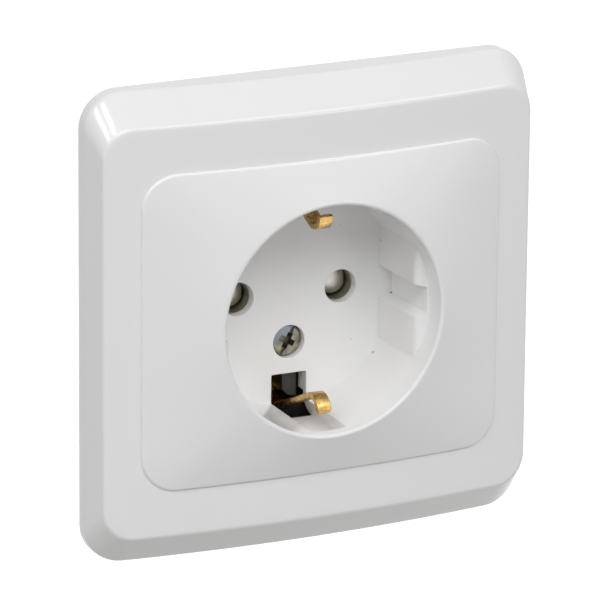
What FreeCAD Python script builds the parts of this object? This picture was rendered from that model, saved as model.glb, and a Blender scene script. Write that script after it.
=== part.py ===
import FreeCAD, Part
import math
import os

from FreeCAD import Vector

# Type F wall socket, flush mounted, in millimetres.
# X runs to the right, Z up and Y into the wall. The origin is on the axis of
# the plug recess, in the plane of the wall.

# Cover frame: an arched square with a bevelled border
frame_width = 80.6
frame_height = 80.6
frame_corner = 6.5
arch_radius = 255.0
side_wall_mid = 5.3
bevel_rise = 4.9
bevel_run_side = 1.35
bevel_run_top = 5.3
face_corner = 5.3
frame_wall = 2.0
ledge_depth = 1.6
ledge_width = 1.5
collar_wall = 1.7
collar_rear = -4.6

# Centre plate: a raised field with the plug recess in its middle
plate_width = 65.4
plate_height = 54.2
plate_corner = 6.0
plate_proud = 0.36
plate_gap = 0.1
plate_wall = 1.8
rim_height = 13.3
rim_round = 0.5

# Plug recess
recess_depth = 17.5
recess_radius_lip = 19.65
recess_taper = 0.3
cup_wall = 1.85
floor_wall = 2.0
pin_spacing = 19.0
pin_hole_radius = 2.85
land_half_floor = 16.6
land_half_front = 17.0
land_length = 13.2
land_round = 0.7
notch_half_face = 2.9
notch_half_back = 2.3
notch_back = 19.1

# Windows and grooves for the earth clips
window_half_width = 3.25
window_top = 14.08
groove_reach = 21.3
groove_length = 15.3
window_cut_forward = 2.3
groove_wall = 1.5
window_shroud = 1.2
window_end = 17.8

# Screw that holds the centre plate
cover_screw_drop = 8.6
cover_hole_radius = 2.87
cover_hole_depth = 3.0
cover_boss_wall = 1.3
cover_seat = 1.2
cover_screw_radius = 1.5
cover_screw_clearance = 0.25
cover_head_radius = 2.5
cover_head_height = 2.0
cover_head_dome = 0.35
cover_screw_length = 16.0
cross_width = 0.85
cross_length = 3.1
cross_depth = 1.5
slot_width = 0.6

# Support plate, riveted to the base
support_inset = 5.3
support_corner = 9.0
support_thick = 1.2
support_cup_gap = 2.1
box_screw_spacing = 60.0
box_slot_width = 3.6
box_slot_length = 6.6
rivet_radius = 1.5
rivet_hole_clearance = 0.05
rivet_head_radius = 2.5
rivet_head_height = 0.8

# Base moulding
base_wall = 1.9
base_flat_cut = 0.9
base_depth = 27.0
base_front = 6.6
base_pocket_gap = 0.35
ear_radius = 3.0
ear_depth = 8.0
ear_stand_out = 0.52
channel_floor = 13.0
channel_gap = 0.2
channel_window_gap = 0.45
boss_left = -0.15
boss_right = 2.5
boss_bottom = 19.0
boss_top = 14.6
boss_round = 2.2
boss_front = 6.5
wire_slot_width = 3.4
wire_slot_floor = 8.4

# Earth strap with its two clips
strap_thick = 1.0
strap_web_half = 4.0
strap_neck_half = 2.9
clip_half_width = 1.25
clip_contact = 14.2
clip_peak_y = -6.8
clip_bend = 2.6
clip_arm_slope = 24.0
clip_tip_slope = 75.0
clip_tip_length = 0.45
leg_offset = 20.55
leg_bend = 3.0
web_bend = 1.2
web_neck_z = 16.0
neck_front = 8.4

# Pin contacts
contact_bore = 2.4
contact_wall = 0.8
contact_front = 7.4
contact_rear = 17.4
contact_slit = 0.8
arm_front = 11.2
arm_thick = 1.0
arm_reach = 21.4
arm_half_height = 7.3
arm_neck_half = 2.6
arm_neck_end = 14.2
sleeve_gap = 0.5
pin_length = 19.0
spring_wall = 0.45
spring_front = 12.9
spring_rear = 16.2
spring_gap = 0.02
spring_mouth = 2.4

# Terminals
terminal_x = 17.7
terminal_z = 4.4
terminal_screw_radius = 1.75
terminal_head_radius = 2.8
terminal_head_height = 2.3
terminal_screw_length = 9.0
terminal_slot_width = 0.8
terminal_slot_depth = 1.0
thread_gap = 0.03
clamp_thick = 1.2
clamp_half_height = 7.2
clamp_inner_x = 14.6
clamp_hole_gap = 0.2
terminal_pocket_gap = 0.3
screw_pocket_gap = 0.4
earth_terminal_z = 9.4
earth_clamp_half_width = 5.3
earth_clamp_half_height = 3.6

# Threaded bush for the cover screw
bush_radius = 2.6
bush_flange_radius = 3.3
bush_flange = 0.8
bush_length = 5.0

# Sizes that follow from those above
floor_y = recess_depth - rim_height
floor_rear = floor_y + floor_wall
face_mid = side_wall_mid + bevel_rise
plate_mid = face_mid + plate_proud
ledge_mid = face_mid - ledge_depth
cup_radius = recess_radius_lip + cup_wall
recess_radius_floor = recess_radius_lip - recess_taper
rim_radius = recess_radius_lip + rim_round
support_half_x = frame_width / 2 - support_inset
support_half_z = frame_height / 2 - support_inset
support_opening = cup_radius + support_cup_gap
base_radius = support_opening + base_wall
base_flat = base_radius - base_flat_cut
rivet_offset = (base_radius + ear_stand_out) * math.sqrt(0.5)
pin_x = pin_spacing / 2
plate_half_x = plate_width / 2
plate_half_z = plate_height / 2
open_half_x = plate_half_x - ledge_width
open_half_z = plate_half_z - ledge_width
open_corner = plate_corner - ledge_width
sleeve_radius = contact_bore + contact_wall
sleeve_pocket = sleeve_radius + sleeve_gap
arm_rear = arm_front + arm_thick
web_front = channel_floor - strap_thick
groove_front_y = floor_y - groove_length
housing_reach = groove_reach + groove_wall
window_rear = floor_rear + window_shroud
cover_seat_front = floor_y + cover_hole_depth
cover_boss_rear = cover_seat_front + cover_seat
through = 40.0


def box(x0, x1, y0, y1, z0, z1):
    """A block between two corners."""
    low = Vector(min(x0, x1), min(y0, y1), min(z0, z1))
    return Part.makeBox(abs(x1 - x0), abs(y1 - y0), abs(z1 - z0), low)


def rod(x, z, radius, y0, y1):
    """A round bar along Y."""
    return Part.makeCylinder(radius, y1 - y0, Vector(x, y0, z), Vector(0, 1, 0))


def fused(shapes):
    """One solid out of several that touch."""
    whole = shapes[0]
    for shape in shapes[1:]:
        whole = whole.fuse(shape)
    return whole.removeSplitter()


def mirrored_x(shape):
    return shape.mirror(Vector(0, 0, 0), Vector(1, 0, 0))


def mirrored_z(shape):
    return shape.mirror(Vector(0, 0, 0), Vector(0, 0, 1))


def arch_height(x, mid):
    """Height over the wall of the arch that stands mid high at its middle."""
    return mid - arch_radius + math.sqrt(arch_radius**2 - x**2)


def arch_front(mid):
    """Everything behind an arched surface."""
    centre = Vector(0, arch_radius - mid, -through * 2)
    return Part.makeCylinder(arch_radius, through * 4, centre, Vector(0, 0, 1))


def flat_height(depth):
    return lambda x: depth


def arched_height(mid):
    return lambda x: arch_height(x, mid)


def rounded_outline(half_x, half_z, corner, height):
    """A rounded rectangle seen from the front, lying on a surface of that height."""

    def point(x, z):
        return Vector(x, -height(x), z)

    def side(a, b):
        middle = point((a[0] + b[0]) / 2, (a[1] + b[1]) / 2)
        start = point(*a)
        end = point(*b)
        if middle.distanceToLine(start, end - start) < 1e-6:
            return Part.LineSegment(start, end).toShape()
        return Part.Arc(start, middle, end).toShape()

    def turn(sx, sz, rising):
        x0 = sx * (half_x - corner)
        z0 = sz * (half_z - corner)
        start = point(x0, sz * half_z)
        end = point(sx * half_x, z0)
        if abs(start.y - end.y) < 1e-9:
            slant = corner * math.sqrt(0.5)
            middle = point(x0 + sx * slant, z0 + sz * slant)
            first, last = (end, start) if rising else (start, end)
            return Part.Arc(first, middle, last).toShape()
        pull = 0.5523 * corner
        slope = (height(x0 + sx * 0.01) - height(x0)) / 0.01
        poles = [
            start,
            start + Vector(sx * pull, -slope * pull, 0),
            end + Vector(0, 0, sz * pull),
            end,
        ]
        if rising:
            poles.reverse()
        curve = Part.BezierCurve()
        curve.setPoles(poles)
        return curve.toShape()

    a = half_x - corner
    b = half_z - corner
    edges = [
        side((-a, half_z), (a, half_z)),
        turn(1, 1, False),
        side((half_x, b), (half_x, -b)),
        turn(1, -1, True),
        side((a, -half_z), (-a, -half_z)),
        turn(-1, -1, False),
        side((-half_x, -b), (-half_x, b)),
        turn(-1, 1, True),
    ]
    return Part.Wire(edges)


def matched_circle(radius, y, half_x, half_z, corner):
    """A circle split where the corners of that rounded rectangle point."""
    high = math.atan2(half_z, half_x - corner)
    low = math.atan2(half_z - corner, half_x)
    stops = [math.pi - high, high, low, -low, -high, high - math.pi]
    stops += [low - math.pi, -low - math.pi, -high - math.pi]

    def at(angle):
        return Vector(radius * math.cos(angle), y, radius * math.sin(angle))

    edges = []
    for start, end in zip(stops, stops[1:]):
        edges.append(Part.Arc(at(start), at((start + end) / 2), at(end)).toShape())
    return Part.Wire(edges)


def bevelled_shell(inset, drop, rear):
    """The frame's outer form, or the hollow that lies inset behind it."""
    share = 0.6 * inset
    rise = bevel_rise - share
    run_x = bevel_run_side * rise / bevel_rise
    run_z = bevel_run_top - share
    low_mid = side_wall_mid - (drop - share)
    half_x = frame_width / 2 - inset
    half_z = frame_height / 2 - inset
    low_corner = frame_corner - inset
    high_corner = face_corner - inset
    past = 1.25
    far_x = half_x - past * run_x
    far_z = half_z - past * run_z
    far_corner = low_corner + past * (high_corner - low_corner)
    far_mid = low_mid + past * rise
    sections = [
        rounded_outline(half_x, half_z, low_corner, flat_height(-rear)),
        rounded_outline(half_x, half_z, low_corner, arched_height(low_mid)),
        rounded_outline(far_x, far_z, far_corner, arched_height(far_mid)),
        rounded_outline(far_x, far_z, far_corner, flat_height(far_mid + 2)),
    ]
    body = Part.makeLoft(sections, True, True)
    return body.common(arch_front(low_mid + rise))


def prism(half_x, half_z, corner, y0, y1):
    """A rounded bar along Y from y0 to y1."""
    face = Part.Face(rounded_outline(half_x, half_z, corner, flat_height(-y0)))
    return face.extrude(Vector(0, y1 - y0, 0))


def make_cover_frame():
    outer = bevelled_shell(0.0, 0.0, 0.0)
    hollow = bevelled_shell(frame_wall, frame_wall, 1.0)
    shell = outer.cut(hollow)
    collar_x = open_half_x + ledge_width + collar_wall
    collar_z = open_half_z + ledge_width + collar_wall
    ring = prism(collar_x, collar_z, plate_corner + collar_wall, -through, collar_rear)
    shell = shell.fuse(outer.common(ring))
    pocket = prism(
        plate_half_x + plate_gap,
        plate_half_z + plate_gap,
        plate_corner + plate_gap,
        -through,
        0,
    )
    pocket = pocket.cut(arch_front(ledge_mid))
    opening = prism(open_half_x, open_half_z, open_corner, -through, 1)
    return shell.cut(pocket).cut(opening).removeSplitter()


def pillow():
    """The raised field from the plate's edge up to the rim of the recess."""
    size = (plate_half_x, plate_half_z, plate_corner)
    sections = [
        rounded_outline(*size, flat_height(0)),
        rounded_outline(*size, arched_height(plate_mid)),
        matched_circle(rim_radius, -rim_height, *size),
    ]
    return Part.makeLoft(sections, True, True)


def plate_underside():
    """The hollow behind the raised field, with a cone under the rim."""
    inset = ledge_width + plate_gap + plate_wall
    half_x = plate_half_x - inset
    half_z = plate_half_z - inset
    top = rim_height - plate_wall
    narrow = rim_radius + plate_wall / 2
    slope = (half_z - narrow) / (top - ledge_mid)
    low = ledge_mid / 2
    wide = narrow + slope * (top - low)
    room = prism(half_x, half_z, plate_corner / 2, -through, 1)
    cone = Part.makeCone(
        wide, narrow, top - low, Vector(0, -low, 0), Vector(0, -1, 0)
    )
    return room.common(arch_front(ledge_mid)).fuse(room.common(cone))


def land(side):
    """One of the two pairs of guide lands at the sides of the recess."""
    front = floor_y - land_length
    far = recess_radius_lip + cup_wall / 2
    outline = [
        Vector(land_half_floor, floor_y + floor_wall / 2, 0),
        Vector(land_half_front, front + land_round, 0),
        Vector(land_half_front + land_round, front, 0),
        Vector(far, front, 0),
        Vector(far, floor_y + floor_wall / 2, 0),
        Vector(land_half_floor, floor_y + floor_wall / 2, 0),
    ]
    face = Part.Face(Part.makePolygon(outline))
    height = recess_radius_lip
    block = face.extrude(Vector(0, 0, height))
    block = block.fuse(face.extrude(Vector(0, 0, -height)))
    bound = rod(0, 0, recess_radius_lip + cup_wall / 2, front, floor_y + floor_wall / 2)
    block = block.common(bound)
    notch = [
        Vector(land_half_floor - 1, front - 1, notch_half_face),
        Vector(land_half_floor, front - 1, notch_half_face),
        Vector(notch_back, front - 1, notch_half_back),
        Vector(notch_back, front - 1, -notch_half_back),
        Vector(land_half_floor, front - 1, -notch_half_face),
        Vector(land_half_floor - 1, front - 1, -notch_half_face),
        Vector(land_half_floor - 1, front - 1, notch_half_face),
    ]
    gap = Part.Face(Part.makePolygon(notch)).extrude(
        Vector(0, land_length + 1, 0)
    )
    block = block.cut(gap)
    return block if side > 0 else mirrored_x(block)


def window_relief():
    """Room behind the outer end of a window, where its side walls end in a curve."""
    half = window_half_width + groove_wall
    front = floor_y - window_cut_forward
    room = box(-half, half, front, window_rear + 1, window_end, housing_reach + 1)
    curve = groove_reach - window_end
    wall = Part.makeCylinder(
        curve, 2 * half, Vector(-half, front, window_end), Vector(1, 0, 0)
    )
    return room.cut(wall)


def make_centre_plate():
    outer = pillow()
    ledge = arch_front(ledge_mid)
    body = outer.cut(ledge)
    neck = prism(
        open_half_x - plate_gap,
        open_half_z - plate_gap,
        open_corner,
        -through,
        collar_rear,
    )
    body = body.fuse(outer.common(neck))
    body = body.cut(plate_underside())
    cup = rod(0, 0, cup_radius, -rim_height + plate_wall, floor_rear)
    housings = box(
        -window_half_width - groove_wall,
        window_half_width + groove_wall,
        groove_front_y - groove_wall,
        floor_rear,
        -housing_reach,
        housing_reach,
    )
    front_half = housings.common(outer)
    rear_half = housings.common(box(-through, through, -1, through, -through, through))
    shrouds = box(
        -window_half_width - groove_wall,
        window_half_width + groove_wall,
        floor_rear,
        window_rear,
        window_top - groove_wall,
        housing_reach,
    )
    screw_boss = rod(
        0,
        -cover_screw_drop,
        cover_hole_radius + cover_boss_wall,
        floor_y,
        cover_boss_rear,
    )
    parts = [body, cup, front_half, rear_half, shrouds, mirrored_z(shrouds), screw_boss]
    body = parts[0]
    for piece in parts[1:]:
        body = body.fuse(piece)
    cavity = Part.makeCone(
        recess_radius_floor,
        recess_radius_lip,
        recess_depth,
        Vector(0, floor_y, 0),
        Vector(0, -1, 0),
    )
    lip = Part.makeCone(
        recess_radius_lip,
        recess_radius_lip + rim_round,
        rim_round,
        Vector(0, rim_round - rim_height, 0),
        Vector(0, -1, 0),
    )
    body = body.cut(cavity.cut(land(1)).cut(land(-1))).cut(lip)
    groove = box(
        -window_half_width,
        window_half_width,
        groove_front_y,
        floor_y,
        -groove_reach,
        groove_reach,
    )
    window = box(
        -window_half_width,
        window_half_width,
        floor_y - window_cut_forward,
        through,
        window_top,
        housing_reach + 1,
    )
    body = body.cut(groove).cut(window).cut(mirrored_z(window))
    relief = window_relief()
    body = body.cut(relief).cut(mirrored_z(relief))
    for side in (-1, 1):
        body = body.cut(rod(side * pin_x, 0, pin_hole_radius, floor_y - 1, through))
    body = body.cut(
        rod(0, -cover_screw_drop, cover_hole_radius, floor_y - 1, cover_seat_front)
    )
    shank = cover_screw_radius + cover_screw_clearance
    return body.cut(rod(0, -cover_screw_drop, shank, floor_y, through))


def make_cover_screw():
    seat = cover_seat_front
    top = seat - cover_head_height
    z = -cover_screw_drop
    head = rod(0, z, cover_head_radius, top, seat)
    dome_radius = (cover_head_radius**2 + cover_head_dome**2) / (2 * cover_head_dome)
    ball = Part.makeSphere(dome_radius, Vector(0, top - cover_head_dome + dome_radius, z))
    cap = rod(0, z, cover_head_radius, top - cover_head_dome, top).common(ball)
    screw = head.fuse(cap)
    screw = screw.fuse(rod(0, z, cover_screw_radius, seat, seat + cover_screw_length))
    front = top - cover_head_dome - 0.1
    floor = top - cover_head_dome + cross_depth
    half = cross_length / 2
    bars = box(-half, half, front, floor, -cross_width / 2, cross_width / 2)
    bars = bars.fuse(box(-cross_width / 2, cross_width / 2, front, floor, -half, half))
    slot = box(
        -cover_head_radius,
        cover_head_radius,
        front,
        floor - cross_depth / 2,
        -slot_width / 2,
        slot_width / 2,
    )
    recess = bars.fuse(slot)
    recess.rotate(Vector(0, 0, 0), Vector(0, 1, 0), -62)
    recess.translate(Vector(0, 0, z))
    return screw.cut(recess).removeSplitter()


def slot_hole(x, z, along_x):
    """A long hole for a box screw."""
    shift = (box_slot_length - box_slot_width) / 2
    dx = shift if along_x else 0
    dz = 0 if along_x else shift
    radius = box_slot_width / 2
    ends = [
        rod(x + s * dx, z + s * dz, radius, -through, through) for s in (-1, 1)
    ]
    half_x = dx if along_x else radius
    half_z = radius if along_x else dz
    middle = box(x - half_x, x + half_x, -through, through, z - half_z, z + half_z)
    return ends[0].fuse(ends[1]).fuse(middle)


def make_support_plate():
    plate = prism(support_half_x, support_half_z, support_corner, -support_thick, 0)
    plate = plate.cut(rod(0, 0, support_opening, -through, through))
    reach = box_screw_spacing / 2
    for side in (-1, 1):
        plate = plate.cut(slot_hole(side * reach, 0, True))
        plate = plate.cut(slot_hole(0, side * reach, False))
    hole = rivet_radius + rivet_hole_clearance
    for sx in (-1, 1):
        for sz in (-1, 1):
            x = sx * rivet_offset
            z = sz * rivet_offset
            plate = plate.cut(rod(x, z, hole, -through, through))
    return plate.removeSplitter()


def make_rivet(sx, sz):
    x = sx * rivet_offset
    z = sz * rivet_offset
    front = -support_thick
    rivet = rod(x, z, rivet_radius, front, ear_depth)
    rivet = rivet.fuse(rod(x, z, rivet_head_radius, front - rivet_head_height, front))
    rear = ear_depth + rivet_head_height
    return rivet.fuse(rod(x, z, rivet_head_radius, ear_depth, rear)).removeSplitter()


def screw_pocket(x, z, y0, y1):
    """Square room for the end of a terminal screw."""
    half = terminal_screw_radius + screw_pocket_gap
    return box(x - half, x + half, y0, y1, z - half, z + half)


def make_base():
    body = rod(0, 0, base_radius, 0, base_depth)
    body = body.common(box(-base_flat, base_flat, 0, base_depth, -through, through))
    for sx in (-1, 1):
        for sz in (-1, 1):
            ear = rod(sx * rivet_offset, sz * rivet_offset, ear_radius, 0, ear_depth)
            body = body.fuse(ear)
    hole = rivet_radius + rivet_hole_clearance
    for sx in (-1, 1):
        for sz in (-1, 1):
            x = sx * rivet_offset
            z = sz * rivet_offset
            body = body.cut(rod(x, z, hole, -1, ear_depth + 0.5))
            body = body.cut(rod(x, z, rivet_head_radius + 0.3, ear_depth, base_depth + 1))
    body = body.cut(rod(0, 0, support_opening, -1, base_front))

    # Middle channel of the earth strap and the cup's window shrouds
    web = strap_web_half + channel_gap
    wide = window_half_width + groove_wall + channel_window_gap
    leg = leg_offset + strap_thick / 2 + channel_gap
    body = body.cut(box(-web, web, base_front - 1, channel_floor, -leg, leg))
    shroud_z = window_top - groove_wall - channel_window_gap
    for sign in (-1, 1):
        body = body.cut(
            box(-wide, wide, base_front - 1, channel_floor, sign * shroud_z, sign * leg)
        )
    deep = window_rear + channel_window_gap
    far = housing_reach + channel_window_gap
    body = body.cut(box(-wide, wide, base_front - 1, deep, -far, -shroud_z))
    body = body.cut(box(-wide, wide, base_front - 1, deep, shroud_z, far))
    boss_hole = cover_hole_radius + cover_boss_wall + channel_window_gap
    body = body.cut(
        rod(0, -cover_screw_drop, boss_hole, base_front - 1, channel_floor)
    )

    # Earth terminal
    ex = earth_clamp_half_width + terminal_pocket_gap
    ez = earth_clamp_half_height + terminal_pocket_gap
    z0 = earth_terminal_z - ez
    z1 = earth_terminal_z + ez
    body = body.cut(box(-ex, ex, base_front - 1, web_front, z0, z1))
    for sign in (-1, 1):
        inner = ex - wire_slot_width
        body = body.cut(
            box(sign * inner, sign * ex, wire_slot_floor, web_front, z0, through)
        )
    head_seat = web_front - clamp_thick
    end = head_seat + terminal_screw_length + 1
    body = body.cut(screw_pocket(0, earth_terminal_z, channel_floor - 1, end))

    # Pin contacts and their terminals
    pin_end = floor_y + pin_length + 1
    for side in (-1, 1):
        x = side * pin_x
        body = body.cut(rod(x, 0, sleeve_pocket, base_front - 1, contact_rear + 0.2))
        body = body.cut(rod(x, 0, contact_bore + 0.3, base_front, pin_end))
        neck = arm_neck_half + terminal_pocket_gap
        start = side * pin_x
        stop = side * (arm_neck_end + 1)
        body = body.cut(box(start, stop, base_front - 1, arm_rear, -neck, neck))
        inner = side * (arm_neck_end - terminal_pocket_gap)
        outer = side * (arm_reach + terminal_pocket_gap)
        tall = arm_half_height + terminal_pocket_gap
        body = body.cut(box(inner, outer, base_front - 1, arm_rear, -tall, tall))
        tx = side * terminal_x
        body = body.cut(
            box(
                tx - wire_slot_width / 2,
                tx + wire_slot_width / 2,
                wire_slot_floor,
                arm_rear,
                -through,
                through,
            )
        )
        for sz in (-1, 1):
            end = arm_front - clamp_thick + terminal_screw_length + 1
            body = body.cut(screw_pocket(tx, sz * terminal_z, arm_front, end))

    # Bush for the cover screw, and the boss that stands in the lower window
    z = -cover_screw_drop
    bush_end = channel_floor + bush_flange + bush_length
    body = body.cut(rod(0, z, bush_radius + 0.02, channel_floor - 1, bush_end))
    body = body.cut(
        rod(0, z, bush_flange_radius + 0.05, channel_floor - 1, channel_floor + bush_flange)
    )
    screw_end = cover_seat_front + cover_screw_length + 1
    body = body.cut(rod(0, z, cover_screw_radius + 0.3, channel_floor, screw_end))
    return body.fuse(make_window_boss()).removeSplitter()


def make_window_boss():
    """The block of the base that fills part of the lower window."""
    block = box(
        boss_left, boss_right, boss_front, channel_floor + 1, -boss_bottom, -boss_top
    )
    edges = []
    for edge in block.Edges:
        middle = edge.CenterOfMass
        along_y = abs(edge.Vertexes[0].Y - edge.Vertexes[1].Y) > 1
        if along_y and abs(middle.x - boss_left) < 1e-6 and middle.z < -boss_top - 1:
            edges.append(edge)
    return block.makeFillet(boss_round, edges)


def bent_strip(path, bends, thick, half_width):
    """A strip along X of that width, bent along a path of (y, z) points."""
    points = [Vector(0, y, z) for y, z in path]
    left = []
    right = []
    for i, point in enumerate(points):
        if i == 0 or i == len(points) - 1:
            a, b = (points[0], points[1]) if i == 0 else (points[-2], points[-1])
            along = (b - a).normalize()
            normal = Vector(0, -along.z, along.y)
            left.append(("point", point + normal * (thick / 2)))
            right.append(("point", point - normal * (thick / 2)))
            continue
        along_in = (point - points[i - 1]).normalize()
        along_out = (points[i + 1] - point).normalize()
        cross = along_in.y * along_out.z - along_in.z * along_out.y
        sign = 1 if cross > 0 else -1
        angle = along_in.getAngle(along_out)
        radius = bends[i - 1]
        reach = radius * math.tan(angle / 2)
        start = point - along_in * reach
        end = point + along_out * reach
        normal = Vector(0, -along_in.z, along_in.y)
        centre = start + normal * (sign * radius)
        middle = ((start - centre) + (end - centre)).normalize()
        for side, rail in ((1, left), (-1, right)):
            r = radius - side * sign * thick / 2
            rail.append(
                (
                    "bend",
                    centre + (start - centre).normalize() * r,
                    centre + middle * r,
                    centre + (end - centre).normalize() * r,
                )
            )

    def run(rail):
        edges = []
        last = rail[0][1]
        for item in rail[1:]:
            edges.append(Part.LineSegment(last, item[1]).toShape())
            last = item[1]
            if item[0] == "bend":
                edges.append(Part.Arc(item[1], item[2], item[3]).toShape())
                last = item[3]
        return edges, last

    left_edges, left_end = run(left)
    right_edges, right_end = run(right)
    edges = left_edges + [Part.LineSegment(left_end, right_end).toShape()]
    edges += right_edges
    edges.append(Part.LineSegment(right[0][1], left[0][1]).toShape())
    wire = Part.Wire(Part.__sortEdges__(edges))
    face = Part.Face(wire)
    face.translate(Vector(-half_width, 0, 0))
    return face.extrude(Vector(2 * half_width, 0, 0))


def strap_path():
    """Half of the strap's middle line, from the tip of a clip to the web."""
    rise = math.radians(clip_arm_slope)
    fall = math.radians(clip_tip_slope)
    centre_z = clip_contact + strap_thick / 2 + clip_bend
    reach = clip_bend * math.tan((rise + fall) / 2)
    touch_y = clip_peak_y + clip_bend * math.sin(rise)
    touch_z = centre_z - clip_bend * math.cos(rise)
    knee_y = touch_y - reach * math.cos(rise)
    knee_z = touch_z - reach * math.sin(rise)
    tip = reach + clip_tip_length
    tip_y = knee_y - tip * math.cos(fall)
    tip_z = knee_z + tip * math.sin(fall)
    heel_y = knee_y + (leg_offset - knee_z) / math.tan(rise)
    return [
        (tip_y, tip_z),
        (knee_y, knee_z),
        (heel_y, leg_offset),
        (web_front + strap_thick / 2, leg_offset),
    ]


def make_earth_strap():
    half = strap_path()
    path = [(y, -z) for y, z in half] + [(y, z) for y, z in reversed(half)]
    bends = [clip_bend, leg_bend, web_bend]
    bends = bends + bends[::-1]
    narrow = bent_strip(path, bends, strap_thick, clip_half_width)
    wide = bent_strip(path, bends, strap_thick, strap_web_half)
    web = wide.common(
        box(-through, through, web_front - 0.5, through, -web_neck_z, web_neck_z)
    )
    neck = wide.common(
        box(-strap_neck_half, strap_neck_half, neck_front, through, -through, through)
    )
    strap = fused([narrow, neck, web])
    gap = cover_screw_radius + 0.5
    strap = strap.cut(rod(0, -cover_screw_drop, gap, 0, through))
    hole = terminal_screw_radius + thread_gap
    strap = strap.cut(rod(0, earth_terminal_z, hole, 0, through))
    strap = strap.cut(
        box(
            boss_left - channel_gap,
            boss_right + channel_gap,
            web_front - 1,
            channel_floor + 1,
            -boss_bottom - channel_gap,
            -boss_top + channel_gap,
        )
    )
    return strap.removeSplitter()


def make_contact(side):
    """Sleeve for one pin, with the arm that carries the wires."""
    sleeve = rod(pin_x, 0, sleeve_radius, contact_front, contact_rear)
    arm = box(
        pin_x, arm_neck_end + 0.5, arm_front, arm_rear, -arm_neck_half, arm_neck_half
    )
    head = box(
        arm_neck_end, arm_reach, arm_front, arm_rear, -arm_half_height, arm_half_height
    )
    body = sleeve.fuse(arm).fuse(head)
    body = body.cut(rod(pin_x, 0, contact_bore, contact_front - 1, contact_rear + 1))
    slit = box(
        pin_x - sleeve_radius - 1,
        pin_x,
        contact_front - 1,
        contact_rear + 1,
        -contact_slit / 2,
        contact_slit / 2,
    )
    body = body.cut(slit)
    hole = terminal_screw_radius + thread_gap
    for sz in (-1, 1):
        body = body.cut(rod(terminal_x, sz * terminal_z, hole, 0, through))
    body = body.removeSplitter()
    return body if side > 0 else mirrored_x(body)


def make_contact_spring(side):
    """Steel ring that keeps the sleeve tight."""
    inner = sleeve_radius + spring_gap
    ring = rod(pin_x, 0, inner + spring_wall, spring_front, spring_rear)
    ring = ring.cut(rod(pin_x, 0, inner, spring_front, spring_rear))
    mouth = box(
        pin_x - sleeve_radius - 2,
        pin_x,
        spring_front,
        spring_rear,
        -spring_mouth / 2,
        spring_mouth / 2,
    )
    ring = ring.cut(mouth)
    return ring if side > 0 else mirrored_x(ring)


def make_clamp_plate(side):
    """Plate that presses the wires of one pole on the contact's arm."""
    plate = box(
        clamp_inner_x,
        arm_reach,
        arm_front - clamp_thick,
        arm_front,
        -clamp_half_height,
        clamp_half_height,
    )
    hole = terminal_screw_radius + clamp_hole_gap
    for sz in (-1, 1):
        plate = plate.cut(rod(terminal_x, sz * terminal_z, hole, 0, through))
    return plate if side > 0 else mirrored_x(plate)


def make_earth_clamp():
    plate = box(
        -earth_clamp_half_width,
        earth_clamp_half_width,
        web_front - clamp_thick,
        web_front,
        earth_terminal_z - earth_clamp_half_height,
        earth_terminal_z + earth_clamp_half_height,
    )
    hole = terminal_screw_radius + clamp_hole_gap
    return plate.cut(rod(0, earth_terminal_z, hole, 0, through))


def make_terminal_screw(x, z, seat):
    """Cheese-head screw whose head rests on a clamp plate at y = seat."""
    top = seat - terminal_head_height
    screw = rod(x, z, terminal_head_radius, top, seat)
    screw = screw.fuse(rod(x, z, terminal_screw_radius, seat, seat + terminal_screw_length))
    slot = box(
        x - terminal_head_radius,
        x + terminal_head_radius,
        top - 0.5,
        top + terminal_slot_depth,
        z - terminal_slot_width / 2,
        z + terminal_slot_width / 2,
    )
    return screw.cut(slot).removeSplitter()


def make_bush():
    z = -cover_screw_drop
    end = channel_floor + bush_flange + bush_length
    bush = rod(0, z, bush_radius, channel_floor, end)
    bush = bush.fuse(
        rod(0, z, bush_flange_radius, channel_floor, channel_floor + bush_flange)
    )
    hole = cover_screw_radius + thread_gap
    return bush.cut(rod(0, z, hole, 0, through)).removeSplitter()


def make_all():
    nodes = {
        "cover_frame": make_cover_frame(),
        "centre_plate": make_centre_plate(),
        "cover_screw": make_cover_screw(),
        "support_plate": make_support_plate(),
        "base": make_base(),
        "cover_screw_bush": make_bush(),
        "earth_strap": make_earth_strap(),
        "earth_clamp_plate": make_earth_clamp(),
    }
    nodes["earth_terminal_screw"] = make_terminal_screw(
        0, earth_terminal_z, web_front - clamp_thick
    )
    for pole, side in (("line", 1), ("neutral", -1)):
        nodes[f"{pole}_contact"] = make_contact(side)
        nodes[f"{pole}_contact_spring"] = make_contact_spring(side)
        nodes[f"{pole}_clamp_plate"] = make_clamp_plate(side)
        for level, sz in (("upper", 1), ("lower", -1)):
            name = f"{pole}_{level}_terminal_screw"
            seat = arm_front - clamp_thick
            screw = make_terminal_screw(side * terminal_x, sz * terminal_z, seat)
            nodes[name] = screw
    for level, sz in (("upper", 1), ("lower", -1)):
        for hand, sx in (("left", -1), ("right", 1)):
            nodes[f"{level}_{hand}_rivet"] = make_rivet(sx, sz)
    return nodes


def main():
    os.makedirs("parts", exist_ok=True)
    for name, shape in make_all().items():
        solids = shape.Solids
        if len(solids) != 1 or not shape.isValid():
            print(f"{name}: {len(solids)} solids, valid {shape.isValid()}")
        solid = solids[0] if len(solids) == 1 else Part.makeCompound(solids)
        solid.exportStep(f"parts/{name}.step")
        bounds = solid.BoundBox
        print(
            f"{name}: {solid.Volume:.1f} mm3,"
            f" x {bounds.XMin:.2f} to {bounds.XMax:.2f},"
            f" y {bounds.YMin:.2f} to {bounds.YMax:.2f},"
            f" z {bounds.ZMin:.2f} to {bounds.ZMax:.2f}"
        )


main()
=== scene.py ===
import math

import bmesh
import bpy
from bpy.props import FloatProperty, FloatVectorProperty, PointerProperty
from mathutils import Matrix, Vector


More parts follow.
